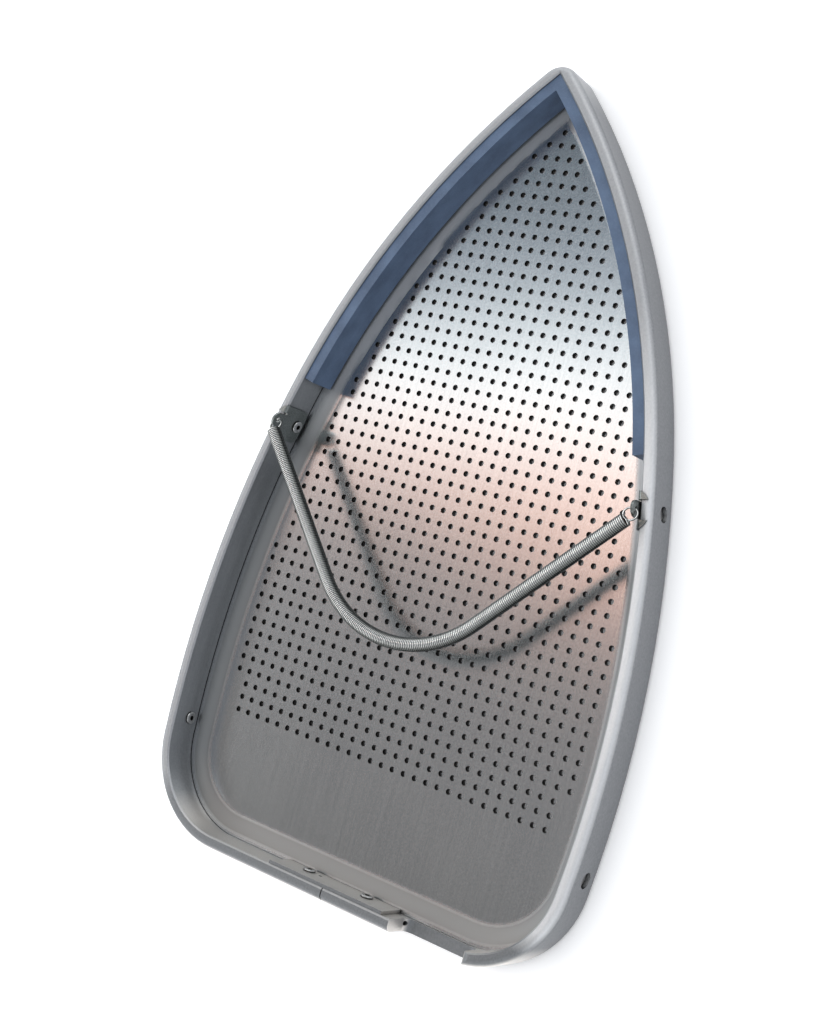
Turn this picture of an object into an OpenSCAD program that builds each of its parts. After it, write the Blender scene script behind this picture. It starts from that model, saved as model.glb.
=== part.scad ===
// Slip-on sole cover for a clothes pressing iron.
// The cover rests flat on its glide sole: X is its width, Y runs from heel to nose, Z is up.
// The origin is the middle of the cover's length and width, on the surface that it rests on.

/* [Outline] */
// Length from the heel face to the tip of the nose
overall_length = 217; // [205:1:235]
// Width across the outside faces at the widest place
overall_width = 130; // [124:1:138]
// Distance of the widest place from the heel face
widest_from_heel = 49; // [40:1:60]
// Radius of the long side curves
side_radius = 294; // [270:1:330]
// Distance from the heel face at which the sides turn into the nose flanks
blend_from_heel = 127.8; // [124:0.1:134]
// Outside radius of the nose tip
nose_radius = 5.7; // [4.5:0.1:8]
// Outside radius of the two heel corners
corner_radius = 26; // [20:0.5:32]

/* [Frame bar] */
// Thickness of the bar that the frame is bent from
rim_thickness = 3.2; // [2.6:0.1:3.8]
// Height of the frame's top face
rim_top = 12; // [11:0.1:15]
// Height of the frame's underside above the glide face
rim_bottom = 0.4; // [0.2:0.1:0.6]
// Rounding of the outside top edge
top_round = 1.8; // [0.8:0.1:2.1]
// Rounding of the outside bottom edge
bottom_round = 1.2; // [0.3:0.1:1.4]
// Chamfer of the inside top edge
inner_chamfer = 0.4; // [0.2:0.1:0.5]
// Depth of the groove that holds the sole sheets
groove_depth = 1.2; // [0.8:0.1:1.5]
// Gap above the sheets' edge in the groove
groove_gap = 0.2; // [0.1:0.05:0.3]
// Gap between the two ends of the bar at the middle of the heel
seam_gap = 0.3; // [0.1:0.05:0.6]

/* [Heel notch] */
// Distance of the notch's near end from the seam
notch_start = 21; // [19.5:0.5:24]
// Length of the notch along the heel
notch_length = 21; // [14:0.5:24]
// Height of wall left under the notch, above the sole sheets' edge
notch_floor = 0.9; // [0.5:0.1:2]
// Rounding of the notch's corners
notch_round = 2.2; // [1:0.1:2.5]
// Diameter of the small hole in the notch's end face
notch_hole_d = 1.2; // [0.8:0.1:1.6]
// Depth of that hole
notch_hole_depth = 4; // [2:0.5:8]

/* [Sole] */
// Thickness of the low-friction glide sheet underneath
glide_thickness = 0.8; // [0.5:0.1:1]
// Thickness of the aluminium sole plate
plate_thickness = 0.8; // [0.5:0.1:1]
// Width of the dished margin along the inside of the frame
dish_width = 6.4; // [5.4:0.1:6.6]
// Height that the dished margin rises
dish_rise = 0.9; // [0.6:0.1:1.2]

/* [Steam holes] */
// Diameter of a steam hole
hole_d = 1.5; // [1:0.05:1.6]
// Distance between neighbouring holes, along and across
hole_pitch = 3.5; // [3.3:0.1:5]
// Least distance of a hole's centre from the outside face of the frame
hole_margin = 10.5; // [10.5:0.1:14]
// Distance of the first row of holes from the heel face
first_row_from_heel = 35.2; // [30:0.1:45]
// Rows at the heel that stop one hole short on each side
short_rows = 3; // [0:1:6]

/* [Rivets] */
// Height of the rivets above the sole plate's top face
rivet_rise = 4; // [3.8:0.1:4.4]
// Diameter of the rivet shanks
rivet_d = 2.2; // [1.6:0.1:2.4]
// Diameter of the rivet heads
rivet_head_d = 3.4; // [3:0.1:3.6]
// Thickness of a rivet head
rivet_head_h = 0.7; // [0.4:0.1:0.8]
// Diameter of the recesses in the outside face that take the rivet heads
recess_d = 3.9; // [3.7:0.1:4.2]
// Depth of those recesses
recess_depth = 1.7; // [1.2:0.1:1.9]
// Outside diameter of the rolled ring on a rivet's inner end
roll_d = 3.3; // [3:0.1:3.6]
// Height of the rolled ring
roll_h = 0.6; // [0.4:0.1:0.8]
// Diameter of the hole in a rivet's inner end
rivet_bore_d = 1.3; // [1:0.1:1.4]
// Depth of that hole
rivet_bore_depth = 1.8; // [1:0.1:2.2]
// Distance of the side rivets from the heel face
side_rivet_from_heel = 28.7; // [27:0.1:45]
// Distance of each splice rivet from the seam
splice_rivet_offset = 9.3; // [6:0.1:14]

/* [Splice plate] */
// Length of the splice plate along the heel wall
splice_length = 36; // [32:0.5:38]
// Thickness of the splice plate
splice_thickness = 0.9; // [0.6:0.1:1.2]
// Distance of the small pilot hole from the seam
pilot_offset = 5.7; // [4:0.1:7]
// Diameter of the pilot hole
pilot_d = 0.9; // [0.6:0.1:1.2]

/* [Nose strips] */
// Thickness of the soft strips inside the nose
strip_thickness = 3; // [2:0.1:4]
// Distance of the strips' ends from the heel face
strip_from_heel = 126; // [121:1:160]
// Drop of the strips' top below the frame's top face
strip_drop = 0.7; // [0.4:0.1:2]
// Gap between the sole plate's edge and the strips
strip_gap = 0.6; // [0.2:0.1:1]

/* [Spring tabs] */
// Distance of the tabs from the heel face
tab_from_heel = 113.2; // [106:0.1:116]
// Thickness of the tab's sheet steel
tab_thickness = 0.6; // [0.4:0.1:0.7]
// Width of the tab's leg
tab_width = 9.2; // [8.8:0.1:11]
// Distance from the tab's rivet down to the leg's lower edge
leg_drop = 2.3; // [1.9:0.1:2.4]
// Rounding of the leg's lower corners
leg_round = 1.8; // [0.8:0.1:2]
// Width of the lug that stands up between the wings
lug_width = 4; // [3.8:0.1:4.2]
// Height of the eye's centre above the frame's top face
eye_rise = 1.9; // [1.8:0.1:2.6]
// Diameter of the eye that takes the spring's hook
eye_d = 1.4; // [1.3:0.05:1.6]
// Reach of the wings across the frame's top face
wing_reach = 3; // [2.4:0.1:3.2]
// Slit between the lug and each wing
slit = 0.45; // [0.3:0.05:0.6]

/* [Spring] */
// Outside diameter of the spring's coils
coil_d = 3.6; // [3.4:0.1:4]
// Diameter of the spring's wire
wire_d = 0.5; // [0.45:0.05:0.6]
// Mean radius of the hooks at its ends
hook_radius = 1.7; // [1.65:0.05:1.9]
// Lean of the hooks inwards from the length of the cover, in degrees
hook_lean = 16.7; // [10:0.1:20]
// Rise of the hooks above the level, in degrees
hook_rise = 24; // [20:0.5:30]
// Angle between the spring's straight legs and the width of the cover
leg_angle = 47.5; // [44:0.5:50]
// Radius of the middle bow of the spring
bow_radius = 30.8; // [24:0.1:38]
// Growth of the coils' diameter where they bend round the bow
bow_swell = 0.03; // [0.02:0.01:0.06]

/* [Hidden] */

$fn = 180;
hole_fn = 24;
beyond = 1;
mitre_turn = 5;

// Outline centres: each arc of the right half has its own centre. The angles where the arcs meet
// and the flanks' radius are kept to a thousandth, so that each arc starts where the last one ends
heel_y = -overall_length / 2;
tip_y = overall_length / 2;
corner_y = heel_y + corner_radius;
corner_reach = side_radius - corner_radius;
corner_angle = rounded(asin((corner_radius - widest_from_heel) / corner_reach));
side_centre = [overall_width / 2 - side_radius, corner_y - corner_reach * sin(corner_angle)];
corner_centre = side_centre + corner_reach * [cos(corner_angle), sin(corner_angle)];
blend_angle = rounded(asin((blend_from_heel - widest_from_heel) / side_radius));
blend_dir = [cos(blend_angle), sin(blend_angle)];
blend_point = side_centre + side_radius * blend_dir;
to_nose = [0, tip_y - nose_radius] - blend_point;
fair_radius = (nose_radius * nose_radius - to_nose * to_nose)
    / (2 * (to_nose * blend_dir + nose_radius));
fair_centre = blend_point - fair_radius * blend_dir;
nose_angle = rounded(acos(-fair_centre.x / (fair_radius - nose_radius)));
flank_radius = rounded(fair_radius);
flank_centre = blend_point - flank_radius * blend_dir;
tip_reach = -flank_centre.x / cos(nose_angle);
tip_radius = flank_radius - tip_reach;
nose_centre = [0, flank_centre.y + tip_reach * sin(nose_angle)];

// Heights of the sole's layers
plate_top = glide_thickness + plate_thickness;
edge_low = dish_rise;
edge_high = plate_top + dish_rise;
sheet_edge = rim_thickness - groove_depth;
tip_width = (rim_thickness + nose_radius) / 2;
flat_edge = rim_thickness + dish_width;
flat_band = 5;
band_lap = 0.8;
bend_radius = (dish_width * dish_width + dish_rise * dish_rise) / (4 * dish_rise);
bend_angle = asin(dish_width / (2 * bend_radius));

// Hole rows
rows = floor((tip_y - hole_margin - heel_y - first_row_from_heel) / hole_pitch);
most_holes = ceil(overall_width / 2 / hole_pitch);

// Rivets
rivet_z = plate_top + rivet_rise;
head_sink = recess_depth - rivet_head_h;

// Splice plate
splice_clear = 0.1;
splice_bottom = edge_high + groove_gap + splice_clear;
splice_top = rim_top - inner_chamfer - splice_clear;

// Tabs: a flat leg touches the hollow wall at its two edges
tab_y = heel_y + tab_from_heel;
wall_radius = side_radius - rim_thickness;
tab_seat = wall_radius - sqrt(wall_radius * wall_radius - tab_width * tab_width / 4);
tab_back = rim_thickness + tab_seat;
tab_face = tab_back + tab_thickness;
fold_radius = inner_chamfer + tab_seat;
leg_bottom = rivet_z - leg_drop;
eye_z = rim_top + eye_rise;
eye_depth = tab_back + tab_thickness / 2;
wing_inner = lug_width / 2 + slit;
wing_round = (tab_width * tab_width / 4 + wing_reach * wing_reach) / (2 * wing_reach);

// Spring: the hook's far side meets the middle of the last coil
eye = wall_point(tab_y, rim_thickness, eye_depth);
hook_dir = [-sin(hook_lean) * cos(hook_rise), -cos(hook_lean) * cos(hook_rise), sin(hook_rise)];
spring_end = [eye.x, eye.y, eye_z] + 2 * hook_radius * hook_dir;
leg_length = (spring_end.x - bow_radius * sin(leg_angle)) / cos(leg_angle);
bow_centre = [0, spring_end.y - leg_length * sin(leg_angle) + bow_radius * cos(leg_angle)];
spring_bore_d = coil_d - 2 * wire_d;

function rounded(value) = round(value * 1000) / 1000;

// Wall position: the arc that a point at height y of the plan lies on, at a depth in the wall
function blend_at(depth) = side_centre.y + (side_radius - depth) * sin(blend_angle);
function arc_centre(y, depth) = y > blend_at(depth) ? flank_centre : side_centre;
function arc_radius(y, depth) = (y > blend_at(depth) ? flank_radius : side_radius) - depth;
function wall_angle(y, depth) = asin((y - arc_centre(y, depth).y) / arc_radius(y, depth));
function wall_point(y, depth, inset) =
    let (a = wall_angle(y, depth), r = arc_radius(y, depth) + depth - inset)
    arc_centre(y, depth) + r * [cos(a), sin(a)];

// Points of the right half of the outline at a depth in the wall
function heel_point(depth) = [corner_centre.x, heel_y + depth];
function side_point(depth, angle) = side_centre + (side_radius - depth) * [cos(angle), sin(angle)];
function flank_point(depth, angle) = flank_centre + (flank_radius - depth) * [cos(angle), sin(angle)];
function apex_y(depth) =
    flank_centre.y + sqrt(pow(flank_radius - depth, 2) - pow(flank_centre.x, 2));

// Distance from the outside face to a point of the right half
function depth_of(p) =
    let (flank_a = atan2(p.y - flank_centre.y, p.x - flank_centre.x))
    min(p.y - heel_y,
        flank_a > blend_angle ? flank_radius - norm(p - flank_centre)
                              : side_radius - norm(p - side_centre));

// Number of holes on each side of the middle in a row
function row_y(row) = heel_y + first_row_from_heel + row * hole_pitch;
function holes_that_fit(y) =
    len([for (i = [0:most_holes]) if (depth_of([i * hole_pitch, y]) >= hole_margin) i]) - 1;
function row_count(row) = holes_that_fit(row_y(row)) - (row < short_rows ? 1 : 0);

module both_sides() {
    children();
    mirror([1, 0, 0]) children();
}

// A move made in whole, thousandth and finer steps, so that no step needs many digits
module move_to(place) {
    whole = [for (v = place) round(v)];
    rest = place - whole;
    step = [for (v = rest) round(v * 1000) / 1000];
    translate(whole) translate(step) translate(rest - step) children();
}

// A section drawn with x as depth from the outside face and y as height, swept round one arc
module sweep_arc(centre, radius, from, to) {
    move_to([centre.x, centre.y, 0])
        rotate_extrude(angle = to - from, start = from)
            move_to([radius, 0])
                mirror([1, 0]) children();
}

// The same section along the straight heel, from the corner to a little past the middle
module sweep_heel() {
    move_to([corner_centre.x, heel_y, 0])
        rotate([90, 0, -90])
            mirror([1, 0, 0]) linear_extrude(corner_centre.x + beyond) children();
}

// The section round the heel corner and the long side
module sweep_side() {
    sweep_arc(corner_centre, corner_radius, -90, corner_angle) children();
    sweep_arc(side_centre, side_radius, corner_angle, blend_angle) children();
}

// Cuts off everything past the middle plane, leaving the right half
module right_half() {
    intersection() {
        children();
        translate([0, -overall_length, -overall_length])
            cube([overall_width, 2 * overall_length, 2 * overall_length]);
    }
}

// Outside faces of the frame's section, as wide as asked
module bar_section(width) {
    difference() {
        translate([0, rim_bottom]) square([width, rim_top - rim_bottom]);
        difference() {
            translate([-beyond, rim_top - top_round]) square([beyond + top_round, top_round + beyond]);
            translate([top_round, rim_top - top_round]) circle(top_round);
        }
        difference() {
            translate([-beyond, rim_bottom - beyond]) square([beyond + bottom_round, bottom_round + beyond]);
            translate([bottom_round, rim_bottom + bottom_round]) circle(bottom_round);
        }
    }
}

module groove_section(width) {
    translate([sheet_edge, edge_low])
        square([width - sheet_edge + beyond, edge_high + groove_gap - edge_low]);
}

module chamfer_section() {
    polygon([
        [rim_thickness - inner_chamfer - beyond, rim_top + beyond],
        [rim_thickness + beyond, rim_top + beyond],
        [rim_thickness + beyond, rim_top - inner_chamfer - beyond]
    ]);
}

module frame_section() {
    difference() {
        bar_section(rim_thickness);
        groove_section(rim_thickness);
        chamfer_section();
    }
}

// Right half of the nose: its outside turns about the tip's centre, and its inside runs on
// along the flank to the middle plane, where the two halves meet in a sharp mitre
module frame_nose() {
    right_half() intersection() {
        sweep_arc(nose_centre, tip_radius, nose_angle, 180 - nose_angle) difference() {
            bar_section(tip_width);
            groove_section(tip_width);
        }
        sweep_arc(flank_centre, flank_radius, nose_angle, nose_angle + mitre_turn) difference() {
            translate([-beyond, 0]) square([rim_thickness + beyond, rim_top + beyond]);
            chamfer_section();
        }
    }
}

// The notch in the heel wall, seen along the length of the cover. The top corner of the wall at
// its far end is rounded too
module notch_outline() {
    low = edge_high + notch_floor;
    end = notch_start + notch_length;
    difference() {
        translate([notch_start, low]) square([notch_length, rim_top - low + beyond]);
        difference() {
            translate([notch_start - beyond, low - beyond])
                square([notch_round + beyond, notch_round + beyond]);
            translate([notch_start + notch_round, low + notch_round]) circle(notch_round);
        }
        difference() {
            translate([end - notch_round, low - beyond])
                square([notch_round + beyond, notch_round + beyond]);
            translate([end - notch_round, low + notch_round]) circle(notch_round);
        }
    }
    difference() {
        translate([end - beyond, rim_top - notch_round]) square([notch_round + beyond, notch_round + beyond]);
        translate([end + notch_round, rim_top - notch_round]) circle(notch_round);
    }
}

module notch_cut() {
    low = edge_high + notch_floor;
    cut_depth = rim_thickness + 2 * beyond;
    translate([0, heel_y + cut_depth, 0])
        rotate([90, 0, 0])
            linear_extrude(cut_depth + beyond) notch_outline();
    translate([notch_start - notch_hole_depth, heel_y + rim_thickness - notch_hole_d, low + notch_hole_d])
        rotate([0, 90, 0]) cylinder(h = notch_hole_depth + notch_round, d = notch_hole_d);
}

// Puts its children on the right wall at a place along the cover: x points out of the wall
module on_wall(y) {
    p = wall_point(y, rim_thickness, 0);
    translate([p.x, p.y, 0]) rotate([0, 0, wall_angle(y, rim_thickness)]) children();
}

// Puts its children on the heel wall at a distance from the seam, with x pointing out of it
module on_heel(x) {
    translate([x, heel_y, 0]) rotate([0, 0, -90]) children();
}

// Hole and recess for one rivet, with the outside face at x = 0
module rivet_hole(depth) {
    translate([-depth, 0, rivet_z]) rotate([0, 90, 0]) cylinder(h = depth, d = rivet_d);
}

module rivet_seat() {
    rivet_hole(rim_thickness + beyond);
    translate([-recess_depth, 0, rivet_z])
        rotate([0, 90, 0]) cylinder(h = recess_depth + beyond, d = recess_d);
}

// One rivet: a head in the recess, a shank through the wall and a rolled ring inside
module rivet(stack) {
    translate([0, 0, rivet_z]) rotate([0, -90, 0]) difference() {
        union() {
            translate([0, 0, head_sink]) cylinder(h = rivet_head_h, d = rivet_head_d);
            translate([0, 0, recess_depth]) cylinder(h = stack - recess_depth, d = rivet_d);
            translate([0, 0, stack]) rotate_extrude() roll_section();
        }
        translate([0, 0, stack + roll_h - rivet_bore_depth])
            cylinder(h = rivet_bore_depth + beyond, d = rivet_bore_d);
    }
}

// Half section of the rolled ring: a flat foot with a rounded rim
module roll_section() {
    rim = roll_h / 2;
    square([roll_d / 2 - rim, roll_h]);
    translate([roll_d / 2 - rim, rim]) circle(rim);
}

module frame() {
    color([0.72, 0.72, 0.73]) difference() {
        union() {
            both_sides() {
                sweep_heel() frame_section();
                sweep_side() frame_section();
                sweep_arc(flank_centre, flank_radius, blend_angle, nose_angle) frame_section();
                frame_nose();
            }
        }
        translate([-seam_gap / 2, heel_y - beyond, rim_bottom - beyond])
            cube([seam_gap, rim_thickness + 2 * beyond, rim_top + beyond]);
        notch_cut();
        both_sides() {
            on_wall(tab_y) rivet_seat();
            on_wall(heel_y + side_rivet_from_heel) rivet_seat();
            on_heel(splice_rivet_offset) rivet_seat();
        }
    }
}

module splice_plate() {
    color([0.75, 0.75, 0.74]) difference() {
        translate([-splice_length / 2, heel_y + rim_thickness, splice_bottom])
            cube([splice_length, splice_thickness, splice_top - splice_bottom]);
        both_sides() on_heel(splice_rivet_offset) rivet_hole(rim_thickness + splice_thickness + beyond);
        on_heel(-pilot_offset) translate([-rim_thickness - splice_thickness - beyond, 0, rivet_z])
            rotate([0, 90, 0]) cylinder(h = splice_thickness + 2 * beyond, d = pilot_d);
    }
}

// Part of a bent sheet: a ring between two radii, from straight down by an angle
module bend_piece(centre, inner, outer, up) {
    turn = up ? 1 : -1;
    far = 2 * outer;
    intersection() {
        translate(centre) difference() {
            circle(outer);
            circle(inner);
        }
        polygon([
            centre,
            centre + [0, turn * far],
            centre + [turn * far * sin(bend_angle), turn * far],
            centre + [turn * far * sin(bend_angle), turn * far * cos(bend_angle)]
        ]);
    }
}

// Section of a sole sheet's margin: flat edge in the groove, then the S-shaped dish
module dish_section(low, thickness) {
    reach = low - glide_thickness;
    translate([sheet_edge, low + dish_rise]) square([groove_depth, thickness]);
    translate([flat_edge, low]) square([flat_band, thickness]);
    bend_piece([rim_thickness, glide_thickness + dish_rise - bend_radius],
        bend_radius + reach, bend_radius + reach + thickness, true);
    bend_piece([flat_edge, glide_thickness + bend_radius],
        bend_radius - reach - thickness, bend_radius - reach, false);
}

// The flat middle of a sole sheet: straight edges that lie inside the swept flat band
module flat_middle() {
    depth = flat_edge + band_lap;
    half = [
        heel_point(depth),
        side_point(depth, corner_angle),
        side_point(depth, (corner_angle + blend_angle) / 2),
        flank_point(depth, blend_angle),
        flank_point(depth, (blend_angle + nose_angle) / 2)
    ];
    polygon(concat(half, [[0, apex_y(depth)]], [for (i = [len(half) - 1:-1:0]) [-half[i].x, half[i].y]]));
}

module steam_holes(low, high) {
    for (row = [0:rows])
        for (i = [-row_count(row):1:row_count(row)])
            translate([i * hole_pitch, row_y(row), low - beyond])
                cylinder(h = high - low + 2 * beyond, d = hole_d, $fn = hole_fn);
}

// One of the two sole sheets, starting at a height in its flat middle
module sole_sheet(low, thickness) {
    difference() {
        union() {
            translate([0, 0, low]) linear_extrude(thickness) flat_middle();
            both_sides() {
                sweep_heel() dish_section(low, thickness);
                sweep_side() dish_section(low, thickness);
                right_half() sweep_arc(flank_centre, flank_radius, blend_angle, nose_angle + mitre_turn)
                    dish_section(low, thickness);
            }
        }
        nose_trim();
        steam_holes(low, low + thickness);
    }
}

// What the nose tip's rounding takes off the sheets' edges
module nose_trim() {
    sweep_arc(nose_centre, tip_radius, nose_angle, 180 - nose_angle)
        translate([sheet_edge - tip_radius, 0]) square([tip_radius, rim_top]);
}

module sole_plate() {
    color([0.66, 0.67, 0.68]) sole_sheet(glide_thickness, plate_thickness);
}

module glide_sole() {
    color([0.42, 0.41, 0.4]) sole_sheet(0, glide_thickness);
}

// One soft strip on the right wall of the nose, bent to the flank's arc all along, cut square at
// its end and mitred at the tip
module nose_strip() {
    start = heel_y + strip_from_heel;
    low = edge_high + strip_gap;
    high = rim_top - strip_drop;
    start_angle = asin((start - flank_centre.y) / (flank_radius - rim_thickness));
    right_half() sweep_arc(flank_centre, flank_radius, start_angle, nose_angle + mitre_turn)
        translate([rim_thickness, low]) square([strip_thickness, high - low]);
}

module nose_strip_right() {
    color([0.4, 0.5, 0.62]) nose_strip();
}

module nose_strip_left() {
    color([0.4, 0.5, 0.62]) mirror([1, 0, 0]) nose_strip();
}

// Leg and lug of a tab, seen square on to its sheet
module tab_blank() {
    fold_z = rim_top - fold_radius;
    half = tab_width / 2;
    difference() {
        union() {
            translate([-half, leg_bottom + leg_round]) square([tab_width, fold_z - leg_bottom - leg_round]);
            translate([leg_round - half, leg_bottom]) square([tab_width - 2 * leg_round, leg_round + beyond]);
            for (side = [-1, 1]) translate([side * (half - leg_round), leg_bottom + leg_round]) circle(leg_round);
            translate([-lug_width / 2, leg_bottom + leg_round])
                square([lug_width, eye_z - leg_bottom - leg_round]);
            translate([0, eye_z]) circle(d = lug_width);
        }
        translate([0, rivet_z]) circle(d = rivet_d);
        translate([0, eye_z]) circle(d = eye_d);
    }
}

// Section of a wing: folded outwards through a right angle and flat on the frame's top face
module wing_section() {
    fold_z = rim_top - fold_radius;
    fold_depth = tab_back - fold_radius;
    intersection() {
        translate([fold_depth, fold_z]) difference() {
            circle(fold_radius + tab_thickness);
            circle(fold_radius);
        }
        translate([fold_depth, fold_z]) square(fold_radius + tab_thickness);
    }
    translate([0, rim_top]) square([fold_depth, tab_thickness]);
}

// Both wings, trimmed to one round outline as seen from above
module tab_wings() {
    intersection() {
        for (side = [0, 1]) mirror([0, side, 0])
            translate([0, wing_inner, 0]) rotate([90, 0, 180])
                linear_extrude(tab_width / 2 - wing_inner) wing_section();
        translate([-tab_face + wing_reach + tab_thickness / 2 - wing_round, 0, 0])
            cylinder(h = rim_top + 2 * tab_thickness, r = wing_round);
    }
}

module spring_tab() {
    on_wall(tab_y) {
        translate([-tab_face, 0, 0]) rotate([90, 0, 90]) linear_extrude(tab_thickness) tab_blank();
        tab_wings();
    }
}

module spring_tab_right() {
    color([0.62, 0.64, 0.64]) spring_tab();
}

module spring_tab_left() {
    color([0.62, 0.64, 0.64]) mirror([1, 0, 0]) spring_tab();
}

module tab_rivet() {
    on_wall(tab_y) rivet(tab_face);
}

module tab_rivet_right() {
    color([0.78, 0.78, 0.78]) tab_rivet();
}

module tab_rivet_left() {
    color([0.78, 0.78, 0.78]) mirror([1, 0, 0]) tab_rivet();
}

module side_rivet() {
    on_wall(heel_y + side_rivet_from_heel) rivet(rim_thickness);
}

module side_rivet_right() {
    color([0.78, 0.78, 0.78]) side_rivet();
}

module side_rivet_left() {
    color([0.78, 0.78, 0.78]) mirror([1, 0, 0]) side_rivet();
}

module splice_rivet_right() {
    color([0.78, 0.78, 0.78]) on_heel(splice_rivet_offset) rivet(rim_thickness + splice_thickness);
}

module splice_rivet_left() {
    color([0.78, 0.78, 0.78]) on_heel(-splice_rivet_offset) rivet(rim_thickness + splice_thickness);
}

// One closed hook: a ring of wire through the tab's eye and into the last coil
module hook() {
    translate([eye.x, eye.y, eye_z])
        rotate([0, 0, -hook_lean]) rotate([-hook_rise, 0, 0])
            translate([0, -hook_radius, 0])
                rotate_extrude() translate([hook_radius, 0]) circle(d = wire_d);
}

// One straight leg of the spring, closed at its end by the coil that turns in to the hook. It
// runs one wire's width into the bow, whose coils are a little wider
module spring_leg() {
    reach = leg_length + wire_d;
    translate(spring_end) rotate([0, 0, leg_angle]) rotate([0, -90, 0]) difference() {
        cylinder(h = reach, d = coil_d);
        translate([0, 0, wire_d]) cylinder(h = reach, d = spring_bore_d);
    }
}

module spring_bow() {
    translate([0, bow_centre.y, spring_end.z])
        rotate_extrude(angle = 2 * leg_angle, start = 270 - leg_angle)
            translate([bow_radius, 0]) difference() {
                circle(d = coil_d + bow_swell);
                circle(d = spring_bore_d - bow_swell);
            }
}

module spring() {
    color([0.5, 0.54, 0.52]) {
        spring_bow();
        both_sides() {
            spring_leg();
            hook();
        }
    }
}

frame();
splice_plate();
sole_plate();
glide_sole();
nose_strip_left();
nose_strip_right();
spring();
spring_tab_left();
spring_tab_right();
tab_rivet_left();
tab_rivet_right();
side_rivet_left();
side_rivet_right();
splice_rivet_left();
splice_rivet_right();
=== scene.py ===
import math

import bpy
import numpy as np
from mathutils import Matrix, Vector


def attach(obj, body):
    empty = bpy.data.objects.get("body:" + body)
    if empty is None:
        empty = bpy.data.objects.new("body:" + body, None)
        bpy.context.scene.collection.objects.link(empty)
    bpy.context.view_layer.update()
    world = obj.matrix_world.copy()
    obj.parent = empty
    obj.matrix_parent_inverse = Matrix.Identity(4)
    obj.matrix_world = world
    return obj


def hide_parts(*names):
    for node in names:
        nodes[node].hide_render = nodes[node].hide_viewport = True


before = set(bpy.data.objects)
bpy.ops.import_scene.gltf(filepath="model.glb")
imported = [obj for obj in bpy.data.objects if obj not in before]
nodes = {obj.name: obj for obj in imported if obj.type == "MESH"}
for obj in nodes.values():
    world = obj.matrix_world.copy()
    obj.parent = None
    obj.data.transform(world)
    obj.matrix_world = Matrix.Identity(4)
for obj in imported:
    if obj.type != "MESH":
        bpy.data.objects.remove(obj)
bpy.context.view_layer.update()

# Camera. The photograph was taken by hand from above the cover's right side, close to it, with
# the nose pointing up and to the right. Place and turn were solved from the grid of steam holes.
CAMERA_PLACE = (0.208915, -0.018118, 0.331051)
CAMERA_TURN = (11.8365, 32.0203, 19.2827)
FOCAL_PIXELS = 1533.0
IMAGE_HEIGHT = 1024.0
FILM = 36.0

camera_data = bpy.data.cameras.new("camera")
camera_data.sensor_fit = "AUTO"
camera_data.sensor_width = FILM
camera_data.lens = FOCAL_PIXELS / IMAGE_HEIGHT * FILM
camera_data.clip_start = 0.01
camera = bpy.data.objects.new("camera", camera_data)
camera.location = CAMERA_PLACE
camera.rotation_euler = [math.radians(turn) for turn in CAMERA_TURN]
bpy.context.scene.collection.objects.link(camera)
bpy.context.scene.camera = camera


# Sole plate: a rolled aluminium sheet, satin, with the mill's fine lengthwise grain. It is
# pressed to a dished margin, its steam holes are punched, and the frame's groove holds its edge.
FLAT_FACE = (0.993, 0.999)
HOLE_WALL = (0.3, 0.7)
MARGIN_LENGTH = (-0.1, 0.03)


def linear(hex_colour):
    """Colour for a shader from an sRGB hex value: each channel is taken off the sRGB curve."""
    channels = [int(hex_colour[i:i + 2], 16) / 255 for i in (0, 2, 4)]
    return [c / 12.92 if c <= 0.04045 else ((c + 0.055) / 1.055) ** 2.4 for c in channels] + [1.0]


def add(tree, kind, settings=None, **links):
    """Adds one shader node with its settings. A link is a socket's name, with _ for a space, or
    i and its number, and either a value or the output socket that feeds it."""
    node = tree.nodes.new(kind)
    for key, value in (settings or {}).items():
        setattr(node, key, value)
    for key, value in links.items():
        numbered = key[0] == "i" and key[1:].isdigit()
        socket = node.inputs[int(key[1:]) if numbered else key.replace("_", " ")]
        if isinstance(value, bpy.types.NodeSocket):
            tree.links.new(value, socket)
        else:
            socket.default_value = value
    return node


def feed(tree, node, **sources):
    """Links outputs to a node's sockets, each named with _ for a space."""
    for key, source in sources.items():
        tree.links.new(source, node.inputs[key.replace("_", " ")])


def ramp(tree, source, stops):
    """Colour ramp: each stop is a place from 0 to 1 and a grey level or a hex colour."""
    node = add(tree, "ShaderNodeValToRGB", i0=source)
    for i, (place, colour) in enumerate(stops):
        stop = node.color_ramp.elements[i] if i < 2 else node.color_ramp.elements.new(place)
        stop.position = place
        stop.color = linear(colour) if isinstance(colour, str) else (colour, colour, colour, 1)
    return node.outputs["Color"]


def mixed(tree, amount, first, second, blend="MIX"):
    """Colour on the way from the first colour to the second, or to their blend, by an amount
    from 0 to 1."""
    return add(tree, "ShaderNodeMix", {"data_type": "RGBA", "blend_type": blend}, i0=amount,
               i6=first, i7=second).outputs[2]


def computed(tree, operation, *values):
    """Value that one operation, such as MAXIMUM or MULTIPLY, gives for one to three values."""
    links = {"i" + str(number): value for number, value in enumerate(values)}
    return add(tree, "ShaderNodeMath", {"operation": operation}, **links).outputs["Value"]


def scaled(tree, value, low, high, to_low=0.0, to_high=1.0):
    """Value on another scale: low becomes to_low and high becomes to_high, in a straight line
    between the two and held beyond them."""
    return add(tree, "ShaderNodeMapRange", Value=value, From_Min=low, From_Max=high,
               To_Min=to_low, To_Max=to_high).outputs["Result"]


def part_place(tree):
    """Place on the part in the shared frame, in metres."""
    return add(tree, "ShaderNodeTexCoord").outputs["Object"]


def stretch(tree, axis, start, end):
    """How far along X or Y a place is: 0 up to the start, in metres, and 1 from the end."""
    place = add(tree, "ShaderNodeSeparateXYZ", Vector=part_place(tree)).outputs[axis]
    return scaled(tree, place, start, end)


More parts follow.
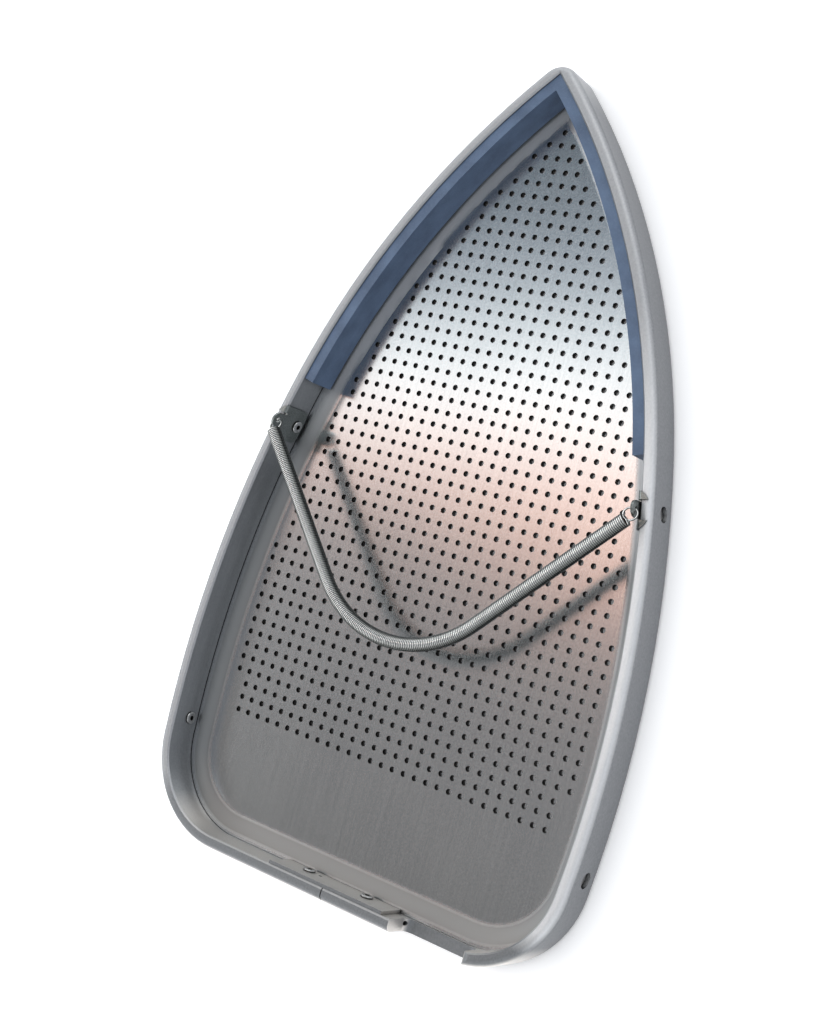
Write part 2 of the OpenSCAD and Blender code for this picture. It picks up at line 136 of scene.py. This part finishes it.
def upward(tree, low, high):
    """How level a face lies: 0 where the height part of its normal is under low, 1 over high."""
    normal = add(tree, "ShaderNodeTexCoord").outputs["Normal"]
    height = add(tree, "ShaderNodeSeparateXYZ", Vector=normal).outputs["Z"]
    return scaled(tree, computed(tree, "ABSOLUTE", height), low, high)


def grain(tree, size_mm, detail=2.0):
    """Noise from 0 to 1 whose grains have a size in millimetres along X, Y and Z."""
    place = add(tree, "ShaderNodeMapping", Vector=part_place(tree),
                Scale=[1000.0 / size for size in size_mm])
    return add(tree, "ShaderNodeTexNoise", Vector=place.outputs["Vector"], Scale=1.0,
               Detail=detail).outputs["Fac"]


def relief(tree, height, strength, depth):
    """Normal of a face on which a height of 1 stands a depth, in metres, over a height of 0."""
    return add(tree, "ShaderNodeBump", Strength=strength, Distance=depth,
               Height=height).outputs["Normal"]


def new_material(name, metallic, roughness):
    """Empty Principled material, with its tree and its shader node."""
    material = bpy.data.materials.new(name)
    material.use_nodes = True
    shader = material.node_tree.nodes["Principled BSDF"]
    shader.inputs["Metallic"].default_value = metallic
    shader.inputs["Roughness"].default_value = roughness
    return material, material.node_tree, shader


def dress(node_name, material):
    """Puts one material in every slot of a CAD node."""
    mesh = nodes[node_name].data
    if not mesh.materials:
        mesh.materials.append(material)
    for slot in nodes[node_name].material_slots:
        slot.material = material


def rolled_aluminium():
    """Rolled aluminium sheet, mill finish. The rolls leave grain lines 0.2 to 0.4 mm apart and
    tens of millimetres long, drawn here a little coarser than real so that they show. The
    pressed slope of the margin is stretched and duller; its grey is painted shade, darker than
    the flat face, and it lightens over MARGIN_LENGTH, in metres along Y, to a painted highlight
    at the nose. The steep walls of the steam holes are near black with painted shade.
    FLAT_FACE and HOLE_WALL tell the faces apart by how level they lie."""
    material, tree, shader = new_material("rolled_aluminium_sheet", 1.0, 0.18)
    streak = grain(tree, (0.45, 22.0, 1.0), detail=3.0)
    speck = grain(tree, (0.35, 0.55, 0.5))
    cloud = grain(tree, (26.0, 34.0, 20.0))
    lines = ramp(tree, streak, ((0.3, "b2b4b6"), (0.7, "c2c4c5")))
    specks = ramp(tree, speck, ((0.25, "a4a8aa"), (0.75, "d0d1d1")))
    clouds = ramp(tree, cloud, ((0.3, "b0b3b6"), (0.7, "cacccc")))
    middle = mixed(tree, 0.2, mixed(tree, 0.45, lines, specks), clouds)
    # Painted shade on the sloped margin, darker than the flat face, lightening along Y to a painted
    # highlight at the nose.
    painted_slope_tone = ramp(tree, stretch(tree, "Y", *MARGIN_LENGTH),
                 ((0.0, "939290"), (0.1, "8c8e8f"), (0.7, "8c8e8f"), (1.0, "b8babc")))
    flat = upward(tree, *FLAT_FACE)
    face = mixed(tree, flat, painted_slope_tone, middle)
    satin = scaled(tree, speck, 0.2, 0.8, 0.17, 0.2)
    # Painted shade: faces steeper than HOLE_WALL, the walls of the steam holes, are near black.
    feed(tree, shader,
         Base_Color=mixed(tree, upward(tree, *HOLE_WALL), linear("151413"), face),
         Roughness=scaled(tree, flat, 0.0, 1.0, 0.5, satin),
         Normal=relief(tree, streak, 0.1, 0.00002))
    return material


dress("sole_plate", rolled_aluminium())


# Glide sheet: glass cloth filled with PTFE, held in the groove under the plate. It is dull, dark
# and waxy, and the weave, about 0.6 mm between threads, shows through the film. It is drawn
# twice as coarse as that, so that it shows.
THREAD_SPACING = 0.0012
WAVE_RADIANS = 20.0


def coated_glass_cloth():
    """PTFE on glass cloth: two crossed sine waves at the thread spacing press through the film.
    A wave turns through WAVE_RADIANS in one unit, so its scale is one turn over that many
    spacings."""
    material, tree, shader = new_material("ptfe_glass_cloth", 0.0, 0.48)
    waves = [add(tree, "ShaderNodeTexWave", {"wave_type": "BANDS", "bands_direction": direction},
                 Vector=part_place(tree), Scale=2 * math.pi / (WAVE_RADIANS * THREAD_SPACING),
                 Distortion=0.0).outputs["Fac"] for direction in ("X", "Y")]
    weave = computed(tree, "MAXIMUM", *waves)
    blotch = grain(tree, (9.0, 12.0, 9.0), detail=4.0)
    base = ramp(tree, blotch, ((0.3, "2b2926"), (0.7, "3a3733")))
    threads = ramp(tree, weave, ((0.5, 0.0), (1.0, 0.35)))
    feed(tree, shader, Base_Color=mixed(tree, threads, base, linear("4a4640")),
         Normal=relief(tree, weave, 0.3, 0.00003))
    return material


dress("glide_sole", coated_glass_cloth())


# Frame and splice plate: extruded aluminium bar, bent to the iron's outline and left as it came
# from the mill, with fine lines along it and dull patches from handling. Its ends meet at the
# heel, where the splice plate is riveted inside the wall across the seam.
RIGHT_TOP = (0.040, 0.056)
RIGHT_WALL = (0.002, 0.012)
HEEL_TOP = (-0.100, -0.094)
HEEL_WALL = (-0.1035, -0.098)


def openness(tree, distance, samples=4):
    """How open a place is: 1 if nothing stands within the distance, in metres, and down to 0."""
    return add(tree, "ShaderNodeAmbientOcclusion", {"samples": samples},
               Distance=distance).outputs["AO"]


def extruded_aluminium():
    """Extruded aluminium, mill finish, with fine die lines and specks. Its level top is rubbed
    bright, with a painted highlight along the right side and painted shade at the heel; its upright
    faces are painted shade, darker than the top and darker still on the right half, with a painted
    highlight paling them at the heel; and painted shade darkens the corners. The ranges above say
    where, in metres along X for the right and along Y for the heel."""
    material, tree, shader = new_material("extruded_aluminium_bar", 1.0, 0.33)
    lines = grain(tree, (0.5, 16.0, 0.35), detail=3.0)
    speck = grain(tree, (0.4, 0.6, 0.4), detail=3.0)
    cloud = grain(tree, (14.0, 30.0, 8.0), detail=3.0)
    top = mixed(tree, 0.4, ramp(tree, lines, ((0.3, "e2e3e4"), (0.7, "eeeeee"))),
                ramp(tree, cloud, ((0.3, "dddfe0"), (0.7, "f0f0f0"))))
    # Painted highlight and shade: the top is lighter toward the right side and darker at the heel.
    top = mixed(tree, stretch(tree, "X", *RIGHT_TOP), linear("a2a3a5"), top)
    top = mixed(tree, stretch(tree, "Y", *HEEL_TOP), linear("727476"), top)
    # Painted shade: upright faces are darker than the level top and darker on the right half, and a
    # painted highlight makes them pale at the heel.
    wall = mixed(tree, 0.4, ramp(tree, lines, ((0.3, "96989b"), (0.7, "a7a9ab"))),
                 ramp(tree, cloud, ((0.3, "8e9093"), (0.7, "b0b1b2"))))
    wall = mixed(tree, stretch(tree, "X", *RIGHT_WALL), wall, linear("6c6e72"))
    wall = mixed(tree, stretch(tree, "Y", *HEEL_WALL), linear("f0ebe5"), wall)
    level = upward(tree, 0.35, 0.85)
    colour = mixed(tree, 0.2, mixed(tree, level, wall, top),
                   ramp(tree, speck, ((0.3, "94979a"), (0.7, "c6c7c8"))))
    # Painted shade: the colour darkens in corners and crevices, where nothing is open within 2.5
    # mm.
    painted_corner_shade = ramp(tree, openness(tree, 0.0025), ((0.35, 0.12), (0.8, 1.0)))
    feed(tree, shader, Base_Color=mixed(tree, 1.0, colour, painted_corner_shade, "MULTIPLY"),
         Roughness=scaled(tree, level, 0.0, 1.0, 0.42, 0.5),
         Normal=relief(tree, lines, 0.25, 0.00003))
    return material


bar_metal = extruded_aluminium()
for name in ("frame", "splice_plate"):
    dress(name, bar_metal)


# Nose strips: flat strips of blue-grey silicone rubber, cut square and glued inside the nose.
# They are smooth and slightly dusty, with a soft sheen.
def silicone_rubber():
    """Silicone rubber: a dull satin surface with fine dust and faint mottling."""
    material, tree, shader = new_material("blue_grey_silicone", 0.0, 0.42)
    mottle = grain(tree, (7.0, 7.0, 5.0), detail=4.0)
    dust = grain(tree, (0.4, 0.4, 0.4))
    base = ramp(tree, mottle, ((0.3, "44566f"), (0.7, "566a85")))
    dusted = ramp(tree, dust, ((0.5, 0.0), (0.8, 0.25)))
    feed(tree, shader, Base_Color=mixed(tree, dusted, base, linear("74859a")),
         Roughness=scaled(tree, dust, 0.3, 0.7, 0.36, 0.5),
         Normal=relief(tree, dust, 0.12, 0.00003))
    return material


rubber = silicone_rubber()
for name in ("nose_strip_left", "nose_strip_right"):
    dress(name, rubber)


# Spring tabs and rivets: the tabs are pressed from plain sheet steel, folded over the rim and
# riveted to the side walls. The rivets are tubular aluminium, bright where they were rolled over.
def pressed_steel():
    """Bright cold-rolled steel sheet with a faint grain."""
    material, tree, shader = new_material("pressed_sheet_steel", 1.0, 0.3)
    speck = grain(tree, (0.3, 0.3, 0.3))
    feed(tree, shader, Base_Color=ramp(tree, speck, ((0.3, "6f7472"), (0.7, "8f9391"))))
    return material


def rivet_aluminium():
    """Soft aluminium, burnished by the rivet set, with dull patches, and painted shade in the
    hollows.
    """
    material, tree, shader = new_material("rivet_aluminium", 1.0, 0.28)
    patch = grain(tree, (0.8, 0.8, 0.8))
    # Painted shade: the hollows of the rivets turn near black.
    free_of_painted_shade = ramp(tree, openness(tree, 0.003), ((0.35, 0.0), (0.8, 1.0)))
    colour = ramp(tree, patch, ((0.3, "a3a3a2"), (0.7, "cfcfce")))
    feed(tree, shader, Base_Color=mixed(tree, free_of_painted_shade, linear("3a3935"), colour))
    return material


tab_steel = pressed_steel()
rivet_metal = rivet_aluminium()
for side in ("left", "right"):
    dress("spring_tab_" + side, tab_steel)
    for place in ("tab", "side", "splice"):
        dress(place + "_rivet_" + side, rivet_metal)


# Spring: hard-drawn steel wire, 0.5 mm thick, close wound to coils 3.6 mm across. A full loop is
# turned up at each end and hooks through the tab's eye, so that the spring hangs in an arch
# across the cover.
COIL_RADIUS = 0.00155
WIRE_RADIUS = 0.00025
COIL_PITCH = 0.00051
LEG_TURN = math.radians(47.5)
BOW_RADIUS = 0.0308
SPRING_END = np.array([0.0534039, 0.00165069, 0.0152829])
EYE = np.array([0.0542964, 0.00462574, 0.0139])
HOOK_START = math.radians(8)
HOOK_END = math.radians(342)
POINTS_A_TURN = 20
HOOK_POINTS = 60
JOIN_POINTS = 10
JOIN_SPEED = 0.0035
WIRE_SIDES = 8

leg_length = (SPRING_END[0] - BOW_RADIUS * math.sin(LEG_TURN)) / math.cos(LEG_TURN)
bow_length = 2 * LEG_TURN * BOW_RADIUS
bow_middle_y = SPRING_END[1] - leg_length * math.sin(LEG_TURN) + BOW_RADIUS * math.cos(LEG_TURN)


def unit(vectors):
    """Each vector brought to length one."""
    return vectors / np.linalg.norm(vectors, axis=-1, keepdims=True)


def spring_line(along):
    """Middle line of the coils and its outward direction at distances along it: a straight leg,
    an arc, and a straight leg, in a level plane, from the left end to the right one."""
    leg_in = np.array([math.cos(LEG_TURN), -math.sin(LEG_TURN), 0.0])
    leg_out = np.array([math.cos(LEG_TURN), math.sin(LEG_TURN), 0.0])
    turn = np.clip((along - leg_length) / BOW_RADIUS, 0.0, 2 * LEG_TURN) - LEG_TURN
    outward = np.stack([np.sin(turn), -np.cos(turn), np.zeros_like(turn)], axis=1)
    middle = np.array([0.0, bow_middle_y, SPRING_END[2]])
    point = middle + BOW_RADIUS * outward
    before = np.minimum(along - leg_length, 0.0)[:, None]
    after = np.maximum(along - leg_length - bow_length, 0.0)[:, None]
    return point + before * leg_in + after * leg_out, outward


def hook_line(samples):
    """Loop of the right hook and the direction square to its plane. It is a circle of the coils'
    own radius that starts where the last coil ends, passes through the tab's eye and comes round
    again to just short of its start."""
    reach = SPRING_END - EYE
    ahead = unit(reach)
    across = unit(np.array([ahead[1], -ahead[0], 0.0]))
    middle = (SPRING_END + EYE) / 2
    radius = np.linalg.norm(reach) / 2
    angle = np.linspace(HOOK_START, HOOK_END, samples)[:, None]
    loop = middle + radius * (np.cos(angle) * ahead + np.sin(angle) * across)
    return loop, np.cross(ahead, across)


def smooth_join(before, after):
    """Hermite curve from the last point of one line to the first point of the next, which leaves
    and arrives along the lines, at the same speed."""
    start, start_way = before[-1], unit(before[-1] - before[-2]) * JOIN_SPEED
    end, end_way = after[0], unit(after[1] - after[0]) * JOIN_SPEED
    t = np.linspace(0.0, 1.0, JOIN_POINTS + 2)[1:-1, None]
    return ((2 * t**3 - 3 * t**2 + 1) * start + (t**3 - 2 * t**2 + t) * start_way
            + (3 * t**2 - 2 * t**3) * end + (t**3 - t**2) * end_way)


def round_tube(path, guide, radius, sides):
    """Tube round a path. At each point the section lies square to the path, and its first side
    faces the guide direction there."""
    way = unit(np.gradient(path, axis=0))
    first = unit(guide - np.sum(guide * way, axis=1, keepdims=True) * way)
    second = np.cross(way, first)
    angle = np.linspace(0.0, 2 * math.pi, sides, endpoint=False)
    ring = (np.cos(angle)[None, :, None] * first[:, None]
            + np.sin(angle)[None, :, None] * second[:, None])
    points = (path[:, None] + radius * ring).reshape(-1, 3)
    rows = np.arange(len(path) - 1)[:, None] * sides
    side = np.arange(sides)[None, :]
    after = (side + 1) % sides
    quads = np.stack([rows + side, rows + after, rows + sides + after, rows + sides + side], axis=2)
    faces = quads.reshape(-1, 4).tolist()
    last = (len(path) - 1) * sides
    faces.append(list(range(sides))[::-1])
    faces.append([last + i for i in range(sides)])
    return points, faces


def new_piece(name, points, faces, material, smooth=True):
    """Mesh object at the origin from points and faces."""
    mesh = bpy.data.meshes.new(name)
    mesh.from_pydata(points.tolist(), [], faces)
    mesh.polygons.foreach_set("use_smooth", [smooth] * len(mesh.polygons))
    mesh.materials.append(material)
    mesh.update()
    piece = bpy.data.objects.new(name, mesh)
    bpy.context.scene.collection.objects.link(piece)
    return piece


def spring_wire():
    """Hard-drawn spring wire, lightly oiled, with specks of dust on its top: the top is a painted
    highlight, the flanks painted shade, and painted shade lies between the turns."""
    material, tree, shader = new_material("drawn_spring_wire", 1.0, 0.22)
    patch = grain(tree, (3.0, 3.0, 3.0), detail=3.0)
    speck = grain(tree, (0.25, 0.25, 0.25))
    base = ramp(tree, patch, ((0.3, "dededc"), (0.7, "f4f4f2")))
    dusted = ramp(tree, speck, ((0.5, 0.0), (0.85, 0.25)))
    top = mixed(tree, dusted, base, linear("80817e"))
    # Painted highlight and shade: faces turned up are light and faces turned sideways dark.
    painted_shade_flank = mixed(tree, upward(tree, 0.35, 0.7), linear("4a4c4a"), linear("8c8e8b"))
    colour = mixed(tree, upward(tree, 0.75, 0.95), painted_shade_flank, top)
    # Painted shade: the colour darkens between the turns, where wire stands close on both sides.
    free_of_painted_shade = ramp(tree, openness(tree, 0.0005), ((0.4, 0.0), (0.85, 1.0)))
    feed(tree, shader, Base_Color=mixed(tree, free_of_painted_shade, linear("4c4d4b"), colour))
    return material


# The phase of the turns is zero at the spring's middle, so that both ends are alike.
whole_length = 2 * leg_length + bow_length
turns = int(whole_length / COIL_PITCH)
along = np.linspace(0.0, whole_length, turns * POINTS_A_TURN + 1)
line, outward = spring_line(along)
phase = (2 * math.pi * turns / whole_length * (along - whole_length / 2))[:, None]
coils = line + COIL_RADIUS * (np.cos(phase) * outward + np.sin(phase) * np.array([0.0, 0.0, 1.0]))

# The left hook is the right one mirrored and run backwards.
right_hook, hook_square = hook_line(HOOK_POINTS)
left_hook = right_hook[::-1] * [-1, 1, 1]
right_join = smooth_join(coils, right_hook)
left_join = smooth_join(left_hook, coils)
wire_path = np.concatenate([left_hook, left_join, coils, right_join, right_hook])

# The section's guide is square to each hook's plane, runs along the coils' middle line, and
# turns from the one to the other over the joins.
line_way = unit(np.gradient(line, axis=0))
turned = np.linspace(0.0, 1.0, len(right_join))[:, None]
right_guide = (1 - turned) * line_way[-1] + turned * hook_square
left_guide = right_guide[::-1] * [1, -1, -1]
wire_guide = np.concatenate([np.tile(hook_square * [1, -1, -1], (len(left_hook), 1)), left_guide,
                             line_way, right_guide, np.tile(hook_square, (len(right_hook), 1))])
wire_points, wire_faces = round_tube(wire_path, wire_guide, WIRE_RADIUS, WIRE_SIDES)
spring = new_piece("spring_coils", wire_points, wire_faces, spring_wire())
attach(spring, "spring")
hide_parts("spring")


# Studio: a plain white table in a grey room. A window on the left lays a pale band on the
# plate, its heel edge warmed by a wall, and two soft lights keep the table white.
TABLE_REACH = 3.0
TABLE_HEIGHT = -0.0001
TABLE_LIFT = 0.42


def flat_sheet(name, reach, z, material):
    """Square lying level at a height, as far from its middle as its reach on each side."""
    points = np.array([[-reach, -reach, z], [reach, -reach, z], [reach, reach, z],
                       [-reach, reach, z]])
    return new_piece(name, points, [[0, 1, 2, 3]], material, smooth=False)


def table_paint():
    """White matt paint with a barely visible mottle, lifted to white where the camera or a
    reflection sees it, but less where something stands close over it, which paints a soft
    contact shadow round the cover."""
    material, tree, shader = new_material("white_table_paint", 0.0, 0.9)
    shader.inputs["Specular IOR Level"].default_value = 0.0
    shader.inputs["Emission Color"].default_value = (1.0, 1.0, 1.0, 1.0)
    mottle = grain(tree, (60.0, 60.0, 60.0))
    rays = add(tree, "ShaderNodeLightPath").outputs
    mirrored = computed(tree, "MAXIMUM", rays["Is Glossy Ray"], rays["Is Transmission Ray"])
    seen = computed(tree, "MAXIMUM", rays["Is Camera Ray"], mirrored)
    # Painted shadow: the lift fades where something stands within 30 mm over the table.
    lift_with_painted_shadow = computed(tree, "MULTIPLY", openness(tree, 0.03, samples=6), TABLE_LIFT)
    feed(tree, shader, Base_Color=ramp(tree, mottle, ((0.3, "f6f6f6"), (0.7, "fbfbfb"))),
         Emission_Strength=computed(tree, "MULTIPLY", seen, lift_with_painted_shadow))
    return material


floor = flat_sheet("floor", TABLE_REACH, TABLE_HEIGHT, table_paint())


def soft_light(name, place, size, power):
    """Rectangular lamp at a place, turned to face the cover."""
    data = bpy.data.lights.new(name, "AREA")
    data.shape = "RECTANGLE"
    data.size, data.size_y = size
    data.energy = power
    lamp = bpy.data.objects.new(name, data)
    lamp.location = place
    lamp.rotation_euler = (-Vector(place)).to_track_quat("-Z", "Y").to_euler()
    bpy.context.scene.collection.objects.link(lamp)


soft_light("nose_side_light", place=(0.1, 1.0, 0.75), size=(1.2, 0.8), power=5.5)
soft_light("heel_side_light", place=(0.1, -1.0, 0.75), size=(1.2, 0.8), power=2.4)


# The room lights the scene and shows in the metal, but not to the camera. Its places are slopes
# of a direction. Each range is a start and an end, BAND_SPREAD adds the band's tilt at both, and
# BAND_COLOURS run from the heel end of BAND_RANGE to its nose end.
ROOM_STRENGTH = 3.1
LOWEST_HEIGHT = 0.04
PLATE_SLOPE = 0.63
BAND_RANGE = (-0.30, 0.40)
BAND_SPREAD = (0.0, 0.12, 0.2, -0.12)
BAND_LEFT = (-0.30, -0.46)
CEILING_RANGE = (-0.3, 1.2)
GLOW_FADE = (0.25, 0.0)
WALL_EDGE = (-0.95, -1.15)
WALL_FADE = (-0.95, -2.45)
BAND_COLOURS = (
    (0.0, "555453"), (0.15, "5b5a5a"), (0.25, "5f5f60"), (0.37, "5a5b5c"), (0.42, "595a5b"),
    (0.46, "676362"), (0.49, "c69785"), (0.53, "e2ac95"), (0.56, "ecc9ba"), (0.575, "f8f2ef"),
    (0.585, "fcffff"), (0.665, "f2ffff"), (0.685, "93a1ae"), (0.71, "697683"),
    (0.75, "586370"), (0.785, "4d5863"), (0.82, "47525b"), (0.86, "414a52"), (1.0, "363d43"))


def grey_room():
    """Room seen by each direction. Its sideways and endways slopes, x/z and y/z, pick the light:
    a band across the window over the left side, a lit wall low on the left, and a dim ceiling
    on the right. The camera itself sees plain white."""
    world = bpy.data.worlds.new("grey_room")
    world.use_nodes = True
    tree = world.node_tree
    way = add(tree, "ShaderNodeSeparateXYZ",
              Vector=add(tree, "ShaderNodeTexCoord").outputs["Generated"]).outputs
    height = computed(tree, "MAXIMUM", way["Z"], LOWEST_HEIGHT)
    sideways = computed(tree, "DIVIDE", way["X"], height)
    endways = computed(tree, "DIVIDE", way["Y"], height)

    # The band's edges slope apart, so that it widens to the right. They turn about the sideways
    # slope, -PLATE_SLOPE, that the middle of the plate shows to the camera.
    beside = computed(tree, "ADD", sideways, PLATE_SLOPE)
    slant = computed(tree, "MULTIPLY_ADD", beside, scaled(tree, endways, *BAND_SPREAD), endways)
    across = scaled(tree, slant, *BAND_RANGE)
    band = ramp(tree, across, BAND_COLOURS)

    # A weaker glow carries the band on over the near part of the ceiling.
    glow = computed(tree, "MULTIPLY", scaled(tree, sideways, *GLOW_FADE),
                    ramp(tree, across, ((0.50, 0.0), (0.58, 0.9), (0.70, 0.9), (0.78, 0.0))))
    ceiling = ramp(tree, scaled(tree, sideways, *CEILING_RANGE),
                   ((0.0, "54575a"), (1.0, "8c8e92")))
    ceiling = mixed(tree, glow, ceiling, linear("ffffff"))
    wall = ramp(tree, scaled(tree, sideways, *WALL_FADE), ((0.5, "f4f6f8"), (0.75, "8c8e90")))
    window = mixed(tree, scaled(tree, sideways, *BAND_LEFT), ceiling, band)

    lit = tree.nodes["Background"]
    lit.inputs["Strength"].default_value = ROOM_STRENGTH
    feed(tree, lit, Color=mixed(tree, scaled(tree, sideways, *WALL_EDGE), window, wall))
    plain = add(tree, "ShaderNodeBackground", Color=[1.0, 1.0, 1.0, 1.0], Strength=1.0)
    seen = add(tree, "ShaderNodeLightPath").outputs["Is Camera Ray"]
    shown = add(tree, "ShaderNodeMixShader", i0=seen, i1=lit.outputs["Background"],
                i2=plain.outputs["Background"])
    feed(tree, tree.nodes["World Output"], Surface=shown.outputs["Shader"])
    return world


bpy.context.scene.world = grey_room()
bpy.context.scene.view_settings.view_transform = "Standard"
